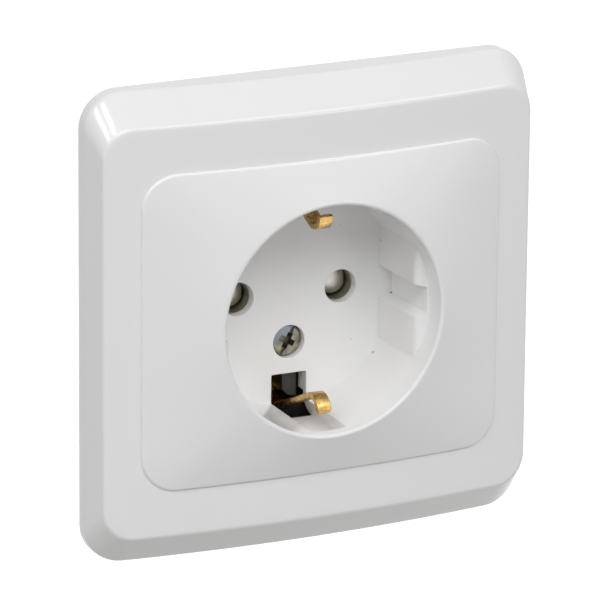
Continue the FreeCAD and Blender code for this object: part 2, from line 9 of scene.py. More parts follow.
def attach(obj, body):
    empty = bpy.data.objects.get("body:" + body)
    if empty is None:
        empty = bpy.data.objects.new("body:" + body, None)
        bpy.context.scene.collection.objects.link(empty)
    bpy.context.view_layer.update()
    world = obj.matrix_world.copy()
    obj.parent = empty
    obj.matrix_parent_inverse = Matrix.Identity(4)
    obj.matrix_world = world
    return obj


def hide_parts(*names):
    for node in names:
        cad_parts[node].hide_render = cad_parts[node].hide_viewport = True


bl_info = {
    "name": "Type F wall socket",
    "version": (1, 0, 0),
    "blender": (4, 5, 0),
    "location": "3D View > Sidebar > Wall socket",
    "description": "Dresses the solids of a flush wall socket with smooth shapes and finishes",
    "category": "Object",
}

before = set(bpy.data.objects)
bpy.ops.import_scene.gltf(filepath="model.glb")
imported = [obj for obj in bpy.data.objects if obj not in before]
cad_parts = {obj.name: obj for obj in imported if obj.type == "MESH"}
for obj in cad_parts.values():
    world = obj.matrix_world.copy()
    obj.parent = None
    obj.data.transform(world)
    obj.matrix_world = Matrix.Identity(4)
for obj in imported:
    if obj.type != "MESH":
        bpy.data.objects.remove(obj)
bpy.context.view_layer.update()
MM = 0.001

# Outline of the cover frame and the centre plate, in millimetres
ARCH_RADIUS = 255.0
FRAME_HALF = 40.3
FRAME_CORNER = 6.5
SIDE_WALL_MID = 5.3
FACE_HALF_X = 38.95
FACE_HALF_Z = 35.0
FACE_CORNER = 5.3
FACE_MID = 10.2
FACE_THICK = 2.0
LEDGE_MID = 8.6
LEDGE_WIDTH = 1.5
LEDGE_CORNER = 4.5
COLLAR_WALL = 3.2
COLLAR_CORNER = 7.7
UNDER_HALF_X = 37.28
UNDER_HALF_Z = 34.2
UNDER_CORNER = 3.6
HOLLOW_WALL = 2.0
HOLLOW_CORNER = 4.5
HOLLOW_MID = 4.5
PLATE_HALF_X = 32.7
PLATE_HALF_Z = 27.1
PLATE_CORNER = 6.0
PLATE_MID = 10.56
PLATE_WALL = 1.6
SHOWN_GAP = -0.01
SKIRT_REAR = -4.6
SKIRT_INSET = 1.6
SKIRT_CORNER = 4.5
SKIRT_WALL = 1.8
SKIRT_INNER_CORNER = 2.7
RIM_HEIGHT = 13.3
RIM_RADIUS = 20.15

# Plug recess
FLOOR_Y = 4.2
FLOOR_REAR = 6.2
FLOOR_RADIUS = 19.35
FLOOR_ROUND = 0.12
LIP_RADIUS = 19.65
LIP_ROUND = 0.42
MOUTH_START = 20.3
MOUTH_END = 20.05
CUP_RADIUS = 21.5
LAND_FLOOR = 16.6
LAND_FRONT = 17.0
LAND_FRONT_Y = -9.0
LAND_ROUND = 1.3
LAND_EDGE = 0.5
LAND_HALF = 14.0
LAND_OUT = 24.0
NOTCH_FACE = 2.9
NOTCH_BACK = 2.3
NOTCH_DEPTH = 19.1
WINDOW_HALF = 3.25
WINDOW_TOP = 14.08
WINDOW_END = 17.8
WINDOW_FRONT = FLOOR_Y - 2.3
WINDOW_CORNER = 0.3
RELIEF_MARGIN = 1.52
GROOVE_REACH = 21.3
GROOVE_FRONT = -11.1
GROOVE_CORNER = 0.25
HOUSING_FRONT = GROOVE_FRONT - 0.4
HOUSING_WALL = 1.5
HOUSING_IN = 18.0
HOUSING_REACH = 22.8
SHROUD_REAR = 7.4
CUT_REAR = 12.0
PIN_X = 9.5
PIN_HOLE = 2.85
SCREW_Z = -8.6
SCREW_HOLE = 2.87
SCREW_SEAT = 7.2
SCREW_BOSS = 4.17
BOSS_REAR = 8.4

# Screw head and earth strap
HEAD_RADIUS = 2.76
HEAD_FRONT = 5.2
HEAD_DOME = 0.35
HEAD_FLAT = HEAD_RADIUS - 0.3
CROSS_HALF = 1.5
CROSS_FOOT = 1.15
CROSS_DEPTH = 1.9
CROSS_ARM = 0.5
SLOT_LENGTH = 3.0
SLOT_DEPTH = 0.62
SLOT_HALF = 0.3
SHANK_RADIUS = 1.5
SHANK_END = 23.2
SLOT_TURN = 62.0
STRIP_THICK = 1.0
STRIP_EDGE = 0.14
STRIP_END = 0.12
STRIP_STEP = 0.35
CLIP_HALF = 1.25
NECK_HALF = 2.9
WEB_HALF = 4.0
CLIP_CONTACT = 14.2
CLIP_PEAK_Y = -6.8
CLIP_BEND = 2.6
CLIP_RISE = 24.0
CLIP_FALL = 75.0
CLIP_TIP = 0.45
LEG_Z = 20.55
LEG_BEND = 3.0
WEB_Y = 12.5
WEB_BEND = 1.2
NECK_FROM = 7.6
NECK_TO = 9.2
WEB_FROM = 16.6
WEB_TO = 15.6
WEB_MARGIN = 1.5
STRAP_HOLES = ((2.0, SCREW_Z), (1.78, 9.4))

# Dust specks in the recess: place, radius and strength of each
SPECKS = (
    ((11.6, 4.2, -9.6), 0.16, 0.35),
    ((15.1, 3.0, -12.0), 0.32, 0.55),
    ((19.0, 4.1, -2.4), 0.28, 0.9),
    ((16.6, 3.4, 7.4), 0.26, 0.4),
    ((9.3, 4.2, 10.7), 0.2, 0.2),
)

# Pin contacts
SLEEVE_IN = 2.4
SLEEVE_MOUTH = 2.68
SLEEVE_NOSE = 2.81
NOSE_FRONT = 5.8
SLEEVE_OUT = 3.2
SLEEVE_FRONT = 7.4
SLEEVE_REAR = 17.4
BLADE_Y = 7.0
BLADE_END = 2.2
BLADE_RADIUS = 2.45
BLADE_RISE = 0.25
BLADE_BOW = 0.7
ARM_FRONT = 11.2
ARM_REAR = 12.2
ARM_IN = 2.9
ARM_OUT = 15.0
ARM_HALF = 2.6
BAR_IN = 14.2
BAR_OUT = 21.4
BAR_HALF = 7.3

# Segments of every ring that follows the outline
SIDE_STEPS_X = 40
SIDE_STEPS_Z = 32
CORNER_STEPS = 28

# Studio: sizes in metres, angles in degrees
FLOOR_SIZE = 5.0
FLOOR_DROP = 0.9
LAMP_DISTANCE = 1.8
CAMERA_DISTANCE = 0.95
CAMERA_AZIMUTH = 25.837
CAMERA_ELEVATION = 17.123
AIM_AZIMUTH = 25.834
AIM_ELEVATION = 17.128
CAMERA_ROLL = 0.507

# Lamps: name, direction, width, height, setting of its power and share of that
LAMPS = (
    ("key_softbox", (-0.22, -0.72, 0.66), 0.9, 0.8, "key_power", 1.0),
    ("left_softbox", (-0.63, -0.55, 0.55), 0.6, 0.6, "side_power", 1.0),
    ("inner_strip", (-0.53, -0.33, 0.78), 0.22, 0.34, "strip_power", 0.45),
    ("outer_strip", (-0.775, -0.20, 0.61), 0.24, 0.34, "strip_power", 0.55),
    ("crease_strip", (0.40, -0.66, 0.63), 1.2, 0.5, "right_power", 0.8),
    ("right_softbox", (0.44, -0.87, 0.19), 0.35, 0.35, "right_power", 0.2),
)


def linear(code):
    """Linear colour of an sRGB hex code."""
    values = [int(code[i : i + 2], 16) / 255 for i in (1, 3, 5)]
    return tuple(v / 12.92 if v <= 0.04045 else ((v + 0.055) / 1.055) ** 2.4 for v in values)


class SocketShape(bpy.types.PropertyGroup):
    """Small sizes of the dressed pieces."""

    crease: FloatProperty(
        name="Crease",
        description="Rounding of the creases of the cover frame",
        default=0.6 * MM,
        unit="LENGTH",
    )
    plate_edge: FloatProperty(
        name="Plate edge",
        description="Rounding of the edge of the centre plate",
        default=0.55 * MM,
        unit="LENGTH",
    )
    edge: FloatProperty(
        name="Moulded edge",
        description="Rounding that every sharp moulded edge shows",
        default=0.18 * MM,
        unit="LENGTH",
    )


class SocketColours(bpy.types.PropertyGroup):
    """Colours of the finishes."""

    white: FloatVectorProperty(
        name="White plastic",
        description="Colour of the moulded frame and plate",
        default=linear("#FAFAFA"),
        subtype="COLOR",
    )
    anthracite: FloatVectorProperty(
        name="Anthracite moulding",
        description="Colour of the base",
        default=linear("#34322E"),
        subtype="COLOR",
    )
    brass: FloatVectorProperty(
        name="Brass strip",
        description="Colour of the earth strap",
        default=linear("#D4AE6C"),
        subtype="COLOR",
    )
    # Painted shade: the reddish brown that the hollows of the earth strap are darkened to
    hollow_shade: FloatVectorProperty(
        name="Brass tarnish",
        description="Colour of the earth strap in its hollows",
        default=linear("#8C5A2A"),
        subtype="COLOR",
    )
    zinc: FloatVectorProperty(
        name="Zinc plating",
        description="Colour of the screws and the support plate",
        default=linear("#B9BCC0"),
        subtype="COLOR",
    )
    passivated: FloatVectorProperty(
        name="Passivated zinc",
        description="Colour of the cover screw",
        default=linear("#A6A190"),
        subtype="COLOR",
    )
    # Painted reflection: a bluish zone on the cover screw
    painted_reflection: FloatVectorProperty(
        name="Zinc film",
        description="Bluish zone on the cover screw",
        default=linear("#7F8792"),
        subtype="COLOR",
    )
    nickel: FloatVectorProperty(
        name="Nickel plating",
        description="Colour of the contact blades in the sleeves",
        default=linear("#9FA593"),
        subtype="COLOR",
    )
    dull_nickel: FloatVectorProperty(
        name="Dull nickel",
        description="Colour of the sleeves around the contact blades",
        default=linear("#95927C"),
        subtype="COLOR",
    )


class SocketStage(bpy.types.PropertyGroup):
    """Lamps and camera."""

    key_power: FloatProperty(
        name="Key lamp",
        description="Power of the large soft lamp above the front",
        default=8.4,
        unit="POWER",
    )
    side_power: FloatProperty(
        name="Left lamp",
        description="Power of the soft lamp at the left",
        default=3.0,
        unit="POWER",
    )
    strip_power: FloatProperty(
        name="Strip lamps",
        description="Power of the two small lamps high on the left, together",
        default=4.6,
        unit="POWER",
    )
    right_power: FloatProperty(
        name="Right lamps",
        description="Power of the two small lamps on the right, together",
        default=6.0,
        unit="POWER",
    )
    ambient: FloatProperty(
        name="Ambient",
        description="Level of the even light from all sides",
        default=0.3,
    )
    lens: FloatProperty(
        name="Lens",
        description="Focal length of the camera in millimetres",
        default=342.1,
    )


# Mesh code. Shapes are made in millimetres and scaled to metres at the end.


def arch(x, mid):
    """Height over the wall at x of an arch that stands mid high at its middle."""
    return mid - ARCH_RADIUS + math.sqrt(ARCH_RADIUS**2 - x**2)


def outline(half_x, half_z, corner, mid=None, flat=None):
    """Points of a rounded rectangle, clockwise from its upper left, on an arch or a plane."""
    a = half_x - corner
    b = half_z - corner
    spots = []

    def side(x0, z0, x1, z1, steps):
        for i in range(steps):
            t = i / steps
            spots.append((x0 + (x1 - x0) * t, z0 + (z1 - z0) * t))

    def turn(cx, cz, start):
        for i in range(CORNER_STEPS):
            angle = math.radians(start - 90 * i / CORNER_STEPS)
            spots.append((cx + corner * math.cos(angle), cz + corner * math.sin(angle)))

    side(-a, half_z, a, half_z, SIDE_STEPS_X)
    turn(a, b, 90)
    side(half_x, b, half_x, -b, SIDE_STEPS_Z)
    turn(a, -b, 0)
    side(a, -half_z, -a, -half_z, SIDE_STEPS_X)
    turn(-a, -b, -90)
    side(-half_x, -b, -half_x, b, SIDE_STEPS_Z)
    turn(-a, b, 180)
    if mid is None:
        return [Vector((x, flat, z)) for x, z in spots]
    return [Vector((x, -arch(x, mid), z)) for x, z in spots]


def circle(radius, y):
    """A circle whose points pair with those of the outline of the centre plate."""
    high = math.atan2(PLATE_HALF_Z, PLATE_HALF_X - PLATE_CORNER)
    low = math.atan2(PLATE_HALF_Z - PLATE_CORNER, PLATE_HALF_X)
    stops = [math.pi - high, high, low, -low, -high, high - math.pi]
    stops += [low - math.pi, -low - math.pi, -high - math.pi]
    steps = [SIDE_STEPS_X, CORNER_STEPS, SIDE_STEPS_Z, CORNER_STEPS] * 2
    points = []
    for start, end, count in zip(stops, stops[1:], steps):
        for i in range(count):
            angle = start + (end - start) * i / count
            points.append(Vector((radius * math.cos(angle), y, radius * math.sin(angle))))
    return points


def between(ring_a, ring_b, share):
    """The ring that lies that share of the way from one ring to the other."""
    return [a.lerp(b, share) for a, b in zip(ring_a, ring_b)]


def rounded(before, crease, after, reach, steps):
    """Rings that round a crease between its two neighbours, reaching that far along each."""
    rings = []
    for i in range(steps + 1):
        t = i / steps
        ring = []
        for a, b, c in zip(before, crease, after):
            start = b + (a - b).normalized() * min(reach, (a - b).length * 0.49)
            end = b + (c - b).normalized() * min(reach, (c - b).length * 0.49)
            ring.append(start * (1 - t) ** 2 + b * (2 * t * (1 - t)) + end * t**2)
        rings.append(ring)
    return rings


def quarter(steps):
    """Cosine and sine at even steps over a quarter turn."""
    angles = [math.radians(90 * i / steps) for i in range(steps + 1)]
    return [(math.cos(angle), math.sin(angle)) for angle in angles]


def soft_rectangle(x0, x1, z0, z1, corner, steps):
    """Points of a rectangle with round corners."""
    points = []
    for cx, cz, start in (
        (x1 - corner, z1 - corner, 0),
        (x0 + corner, z1 - corner, 90),
        (x0 + corner, z0 + corner, 180),
        (x1 - corner, z0 + corner, 270),
    ):
        for i in range(steps + 1):
            angle = math.radians(start + 90 * i / steps)
            points.append((cx + corner * math.cos(angle), cz + corner * math.sin(angle)))
    return points


def tube(rings, closed=False, caps=False):
    """A mesh through rings of paired points: a closed loop of rings, or capped at both ends."""
    work = bmesh.new()
    verts = [[work.verts.new(p) for p in ring] for ring in rings]
    count = len(rings[0])
    last = len(rings) if closed else len(rings) - 1
    for i in range(last):
        lower = verts[i]
        upper = verts[(i + 1) % len(rings)]
        for j in range(count):
            k = (j + 1) % count
            work.faces.new((lower[j], lower[k], upper[k], upper[j]))
    if caps:
        work.faces.new(list(reversed(verts[0])))
        work.faces.new(verts[-1])
    bmesh.ops.recalc_face_normals(work, faces=work.faces)
    return work


def prism(points, axis, low, high):
    """A block whose flat outline runs from low to high along an axis."""
    work = bmesh.new()
    ends = []
    for value in (low, high):
        ring = []
        for first, second in points:
            place = {
                "X": (value, first, second),
                "Y": (first, value, second),
                "Z": (first, second, value),
            }[axis]
            ring.append(work.verts.new(place))
        ends.append(ring)
    count = len(points)
    for i in range(count):
        j = (i + 1) % count
        work.faces.new((ends[0][i], ends[0][j], ends[1][j], ends[1][i]))
    work.faces.new(list(reversed(ends[0])))
    work.faces.new(ends[1])
    bmesh.ops.recalc_face_normals(work, faces=work.faces)
    return work


def block(x0, x1, y0, y1, z0, z1):
    """A block between two corners."""
    return prism([(x0, z0), (x1, z0), (x1, z1), (x0, z1)], "Y", y0, y1)


def soft_block(x0, x1, y0, y1, z0, z1, corner):
    """A block whose four edges along Y are rounded."""
    return prism(soft_rectangle(x0, x1, z0, z1, corner, 6), "Y", y0, y1)


def turned(profile, x=0.0, z=0.0, count=96):
    """A solid of revolution about an axis along Y, through (radius, y) points, capped at both ends."""
    rings = []
    for radius, y in profile:
        ring = []
        for i in range(count):
            angle = 2 * math.pi * i / count
            ring.append(Vector((x + radius * math.cos(angle), y, z + radius * math.sin(angle))))
        rings.append(ring)
    return tube(rings, caps=True)


def as_mesh(work, name):
    """Writes worked geometry to a new mesh."""
    mesh = bpy.data.meshes.new(name)
    work.to_mesh(mesh)
    work.free()
    return mesh


def combine(body, tools, operation):
    """The mesh of a body after adding or taking away each tool in turn."""
    scene = bpy.context.scene
    target = bpy.data.objects.new("work_body", as_mesh(body, "work_body"))
    scene.collection.objects.link(target)
    helpers = []
    for tool in tools:
        helper = bpy.data.objects.new("work_tool", as_mesh(tool, "work_tool"))
        scene.collection.objects.link(helper)
        helpers.append(helper)
        step = target.modifiers.new("step", "BOOLEAN")
        step.operation = operation
        step.solver = "EXACT"
        step.object = helper
    bpy.context.view_layer.update()
    shaped = target.evaluated_get(bpy.context.evaluated_depsgraph_get())
    result = bmesh.new()
    result.from_mesh(shaped.to_mesh())
    shaped.to_mesh_clear()
    for item in [target, *helpers]:
        mesh = item.data
        bpy.data.objects.remove(item)
        bpy.data.meshes.remove(mesh)
    if not result.faces:
        raise RuntimeError("a boolean step left nothing")
    return result


def finish_piece(work, name, material, nodes, sharp=35.0, weighted=False):
    """Turns worked geometry into a named piece that stands for CAD nodes."""
    bmesh.ops.dissolve_degenerate(work, dist=1e-5, edges=work.edges)
    bmesh.ops.scale(work, vec=(MM, MM, MM), verts=work.verts)
    mesh = as_mesh(work, name)
    for face in mesh.polygons:
        face.use_smooth = True
    mesh.set_sharp_from_angle(angle=math.radians(sharp))
    piece = bpy.data.objects.new(name, mesh)
    bpy.context.scene.collection.objects.link(piece)
    if weighted:
        # Flat faces stay flat beside small roundings
        weights = piece.modifiers.new("face_weights", "WEIGHTED_NORMAL")
        weights.keep_sharp = True
        bpy.context.view_layer.update()
        shaded = piece.evaluated_get(bpy.context.evaluated_depsgraph_get())
        piece.data = bpy.data.meshes.new_from_object(shaded)
        piece.modifiers.clear()
        bpy.data.meshes.remove(mesh)
        mesh = piece.data
        mesh.name = name
    mesh.materials.append(material)
    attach(piece, "root")
    if nodes:
        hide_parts(*nodes)
    return piece


# Finishes


def add_node(tree, kind, settings=None, inputs=None):
    """Adds a node. An input is a value, or a (node, output) pair that is linked to it."""
    node = tree.nodes.new(kind)
    for key, value in (settings or {}).items():
        setattr(node, key, value)
    for key, value in (inputs or {}).items():
        if isinstance(value, tuple) and len(value) == 2 and isinstance(value[0], bpy.types.Node):
            tree.links.new(value[0].outputs[value[1]], node.inputs[key])
        else:
            node.inputs[key].default_value = value
    return node


def new_finish(name):
    """An empty material and its node tree."""
    material = bpy.data.materials.new(name)
    material.use_nodes = True
    material.node_tree.nodes.clear()
    return material, material.node_tree


def close_finish(tree, shader):
    """Sends a shader to the output of its material."""
    add_node(tree, "ShaderNodeOutputMaterial", inputs={"Surface": (shader, "BSDF")})


def shade(colour, factor):
    """A lighter or darker shade of a colour."""
    return (colour[0] * factor, colour[1] * factor, colour[2] * factor, 1.0)


def noise(tree, vector, scale, detail):
    """Noise with about that many lumps to the metre."""
    return add_node(
        tree, "ShaderNodeTexNoise", inputs={"Vector": vector, "Scale": scale, "Detail": detail}
    )


def mix_colours(tree, factor, first, second):
    """One colour where the factor is nought, the other where it is one."""
    mix = add_node(
        tree,
        "ShaderNodeMix",
        {"data_type": "RGBA"},
        {"Factor": factor, "A": first, "B": second},
    )
    return (mix, "Result")


def shown_normal(tree, height, strength, depth_mm, samples, edge_radius):
    """The normal with its edges rounded and a fine relief over it."""
    edge = add_node(tree, "ShaderNodeBevel", {"samples": samples}, {"Radius": edge_radius})
    bump = add_node(
        tree,
        "ShaderNodeBump",
        inputs={
            "Height": (height, "Fac"),
            "Strength": strength,
            "Distance": depth_mm * MM,
            "Normal": (edge, "Normal"),
        },
    )
    return (bump, "Normal")


def speck_cover(tree, coords):
    """How far each point is covered by the few dust specks in the recess."""
    cover = None
    for place, radius, strength in SPECKS:
        away = add_node(
            tree,
            "ShaderNodeVectorMath",
            {"operation": "DISTANCE"},
            {0: (coords, "Object"), 1: tuple(length * MM for length in place)},
        )
        spot = add_node(
            tree,
            "ShaderNodeMapRange",
            inputs={
                "Value": (away, "Value"),
                "From Min": radius * 0.5 * MM,
                "From Max": radius * MM,
                "To Min": strength,
                "To Max": 0.0,
            },
        )
        if cover is None:
            cover = (spot, "Result")
        else:
            both = add_node(
                tree, "ShaderNodeMath", {"operation": "MAXIMUM"}, {0: cover, 1: (spot, "Result")}
            )
            cover = (both, "Value")
    return cover


def white_finish(name):
    """Injection-moulded polycarbonate: white, glossy, with the faint waviness of a polished mould."""
    material, tree = new_finish(name)
    colour = bpy.context.scene.socket_colours.white
    coords = add_node(tree, "ShaderNodeTexCoord")
    # Tone drifts by under one percent over about 20 mm
    drift = noise(tree, (coords, "Object"), 50.0, 2.0)
    tone = mix_colours(tree, (drift, "Fac"), shade(colour, 0.99), shade(colour, 1.01))
    dust = (*linear("#55564A"), 1.0)
    # Waviness of 1.5 mm, a few thousandths of a millimetre deep
    waves = noise(tree, (coords, "Object"), 650.0, 1.0)
    edge = bpy.context.scene.socket_shape.edge
    shader = add_node(
        tree,
        "ShaderNodeBsdfPrincipled",
        inputs={
            "Base Color": mix_colours(tree, speck_cover(tree, coords), tone, dust),
            "Roughness": 0.17,
            "IOR": 1.55,
            "Normal": shown_normal(tree, waves, 0.15, 0.02, 6, edge),
        },
    )
    close_finish(tree, shader)
    return material


def anthracite_finish(name):
    """Compression-moulded urea thermoset: dark grey, satin, with a fine grain."""
    material, tree = new_finish(name)
    colour = bpy.context.scene.socket_colours.anthracite
    coords = add_node(tree, "ShaderNodeTexCoord")
    # Filler grain of 0.4 mm
    grain = noise(tree, (coords, "Object"), 2500.0, 3.0)
    edge = bpy.context.scene.socket_shape.edge
    shader = add_node(
        tree,
        "ShaderNodeBsdfPrincipled",
        inputs={
            "Base Color": mix_colours(
                tree, (grain, "Fac"), shade(colour, 0.85), shade(colour, 1.15)
            ),
            "Roughness": 0.45,
            "IOR": 1.6,
            "Normal": shown_normal(tree, grain, 0.2, 0.03, 4, edge),
        },
    )
    close_finish(tree, shader)
    return material


def metal_finish(
    name,
    colour,
    roughness,
    spread,
    grain_mm=0.2,
    stretch=(1, 1, 1),
    edge_mm=0.08,
    painted_reflection=None,
    painted_shade_mm=0.3,
    painted_shade=None,
):
    """A metal with grain of that size, drawn out along one axis by the stretch.

    The second colour over one zone is a painted reflection. Hollows up to the given depth
    are darkened with painted shade, in the given colour or else a darker shade of the metal.
    """
    material, tree = new_finish(name)
    coords = add_node(tree, "ShaderNodeTexCoord")
    place = add_node(
        tree, "ShaderNodeMapping", inputs={"Vector": (coords, "Object"), "Scale": stretch}
    )
    grain = noise(tree, (place, "Vector"), 1.0 / (grain_mm * MM), 4.0)
    # Handling marks about 1.5 mm across
    marks = noise(tree, (coords, "Object"), 700.0, 6.0)
    patchy = add_node(
        tree,
        "ShaderNodeMapRange",
        inputs={"Value": (marks, "Fac"), "From Min": 0.36, "From Max": 0.64},
    )
    dark = shade(colour, 1 - spread)
    light = shade(colour, 1 + spread * 0.5)
    tone = mix_colours(tree, (patchy, "Result"), dark, light)
    if painted_reflection:
        # The painted reflection deepens along that line, between those two distances
        reflection_colour, line, start_mm, end_mm = painted_reflection
        along = add_node(
            tree,
            "ShaderNodeVectorMath",
            {"operation": "DOT_PRODUCT"},
            {0: (coords, "Object"), 1: line},
        )
        cover = add_node(
            tree,
            "ShaderNodeMapRange",
            inputs={
                "Value": (along, "Value"),
                "From Min": start_mm * MM,
                "From Max": end_mm * MM,
                "To Max": 0.85,
            },
        )
        tone = mix_colours(tree, (cover, "Result"), tone, shade(reflection_colour, 1.0))
    # Painted shade: ambient occlusion darkens the metal in its hollows
    hollow = add_node(
        tree,
        "ShaderNodeAmbientOcclusion",
        {"samples": 12, "only_local": True},
        {"Distance": painted_shade_mm * MM},
    )
    open_share = add_node(
        tree,
        "ShaderNodeMapRange",
        inputs={"Value": (hollow, "AO"), "From Min": 0.35, "From Max": 0.85},
    )
    painted_shade_colour = shade(painted_shade, 1.0) if painted_shade else shade(colour, 0.45)
    gloss = add_node(
        tree,
        "ShaderNodeMapRange",
        inputs={
            "Value": (grain, "Fac"),
            "From Min": 0.3,
            "From Max": 0.7,
            "To Min": roughness - 0.08,
            "To Max": roughness + 0.1,
        },
    )
    shader = add_node(
        tree,
        "ShaderNodeBsdfPrincipled",
        inputs={
            "Base Color": mix_colours(tree, (open_share, "Result"), painted_shade_colour, tone),
            "Metallic": 1.0,
            "Roughness": (gloss, "Result"),
            "Normal": shown_normal(tree, grain, 0.2, 0.02, 4, edge_mm * MM),
        },
    )
    close_finish(tree, shader)
    return material


def brass_finish(name):
    """Rolled and stamped brass strip: warm, with lines along the rolling, and reddish-brown painted
    shade in its hollows.
    """
    colours = bpy.context.scene.socket_colours
    return metal_finish(
        name,
        colours.brass,
        roughness=0.26,
        spread=0.36,
        grain_mm=0.25,
        stretch=(1, 0.2, 0.2),
        edge_mm=0.1,
        painted_shade_mm=0.9,
        painted_shade=colours.hollow_shade,
    )


def zinc_finish(name):
    """Zinc-plated and passivated steel: bluish silver with a soft sheen."""
    colour = bpy.context.scene.socket_colours.zinc
    return metal_finish(name, colour, roughness=0.36, spread=0.12, grain_mm=0.3)


def screw_finish(name):
    """Zinc-plated steel under an olive passivation: greenish grey and rough, with a painted bluish
    reflection towards its upper left and painted shade in its recess.
    """
    colours = bpy.context.scene.socket_colours
    return metal_finish(
        name,
        colours.passivated,
        roughness=0.4,
        spread=0.45,
        edge_mm=0.14,
        # A painted bluish reflection deepens towards the upper left of the head
        painted_reflection=(colours.painted_reflection, (-0.45, 0.0, 0.89), -7.6, -6.4),
        # Painted shade darkens the cross and the slot
        painted_shade_mm=1.6,
    )


def nickel_finish(name):
    """Nickel-plated brass: warm silver, duller than the zinc, with painted shade in its hollows."""
    colour = bpy.context.scene.socket_colours.nickel
    return metal_finish(name, colour, roughness=0.52, spread=0.08, painted_shade_mm=2.5)


def dull_nickel_finish(name):
    """Nickel-plated brass, tarnished to a brownish olive where it is not rubbed bright, with painted
    shade in its hollows.
    """
    colour = bpy.context.scene.socket_colours.dull_nickel
    return metal_finish(name, colour, roughness=0.5, spread=0.2, painted_shade_mm=1.2)


def spring_finish(name):
    """Blued spring steel: dark and smooth."""
    return metal_finish(name, linear("#70727A"), roughness=0.32, spread=0.1, edge_mm=0.05)


FINISHES = {
    "moulded_white_polycarbonate": white_finish,
    "moulded_anthracite_thermoset": anthracite_finish,
    "stamped_brass_strip": brass_finish,
    "zinc_plated_steel": zinc_finish,
    "passivated_screw_steel": screw_finish,
    "nickel_plated_brass": nickel_finish,
    "tarnished_nickel_brass": dull_nickel_finish,
    "blued_spring_steel": spring_finish,
}


def finish(name):
    """The material of that name, made when it is first asked for."""
    return bpy.data.materials.get(name) or FINISHES[name](name)


def dress(names, material):
    """Gives the shown CAD nodes of those names a finish."""
    for name in names:
        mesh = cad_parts[name].data
        mesh.materials.clear()
        mesh.materials.append(material)


# Pieces


def frame_rings(crease, edge):
    """Rings of the cover frame, from its outer rear edge over the face and back inside."""
    outer_rear = outline(FRAME_HALF, FRAME_HALF, FRAME_CORNER, flat=0.0)
    side_top = outline(FRAME_HALF, FRAME_HALF, FRAME_CORNER, mid=SIDE_WALL_MID)
    face_edge = outline(FACE_HALF_X, FACE_HALF_Z, FACE_CORNER, mid=FACE_MID)
    # The gap is just below nought, so that the pocket meets the plate without a slit
    pocket_x = PLATE_HALF_X + SHOWN_GAP
    pocket_z = PLATE_HALF_Z + SHOWN_GAP
    pocket_corner = PLATE_CORNER + SHOWN_GAP
    pocket_top = outline(pocket_x, pocket_z, pocket_corner, mid=FACE_MID)
    pocket_foot = outline(pocket_x, pocket_z, pocket_corner, mid=LEDGE_MID)
    ledge_x = PLATE_HALF_X - LEDGE_WIDTH
    ledge_z = PLATE_HALF_Z - LEDGE_WIDTH
    ledge_in = outline(ledge_x, ledge_z, LEDGE_CORNER, mid=LEDGE_MID)
    collar_in = outline(ledge_x, ledge_z, LEDGE_CORNER, flat=SKIRT_REAR)
    collar_x = ledge_x + COLLAR_WALL
    collar_z = ledge_z + COLLAR_WALL
    under = FACE_MID - FACE_THICK
    collar_out = outline(collar_x, collar_z, COLLAR_CORNER, flat=SKIRT_REAR)
    under_in = outline(collar_x, collar_z, COLLAR_CORNER, mid=under)
    under_edge = outline(UNDER_HALF_X, UNDER_HALF_Z, UNDER_CORNER, mid=under)
    hollow = FRAME_HALF - HOLLOW_WALL
    hollow_top = outline(hollow, hollow, HOLLOW_CORNER, mid=HOLLOW_MID)
    hollow_rear = outline(hollow, hollow, HOLLOW_CORNER, flat=0.0)

    rings = []
    rings += rounded(hollow_rear, outer_rear, side_top, edge, 3)
    rings.append(between(outer_rear, side_top, 0.5))
    rings += rounded(outer_rear, side_top, face_edge, crease, 6)
    for share in (0.3, 0.5, 0.7):
        rings.append(between(side_top, face_edge, share))
    rings += rounded(side_top, face_edge, pocket_top, crease, 6)
    for share in (0.25, 0.5, 0.75):
        x = FACE_HALF_X + (pocket_x - FACE_HALF_X) * share
        z = FACE_HALF_Z + (pocket_z - FACE_HALF_Z) * share
        corner = FACE_CORNER + (pocket_corner - FACE_CORNER) * share
        rings.append(outline(x, z, corner, mid=FACE_MID))
    rings += rounded(face_edge, pocket_top, pocket_foot, 0.04, 1)
    rings += [pocket_foot, ledge_in, collar_in, collar_out, under_in]
    rings.append(between(under_in, under_edge, 0.5))
    rings += [under_edge, hollow_top, hollow_rear]
    return rings


class SOCKET_OT_cover_frame(bpy.types.Operator):
    """Makes the arched cover frame with its rounded creases"""

    bl_idname = "socket.cover_frame"
    bl_label = "Cover frame"

    def execute(self, context):
        shape = context.scene.socket_shape
        rings = frame_rings(shape.crease / MM, shape.edge / MM)
        work = tube(rings, closed=True)
        plastic = finish("moulded_white_polycarbonate")
        finish_piece(
            work, "cover_frame_moulding", plastic, ["cover_frame"]
        )
        return {"FINISHED"}


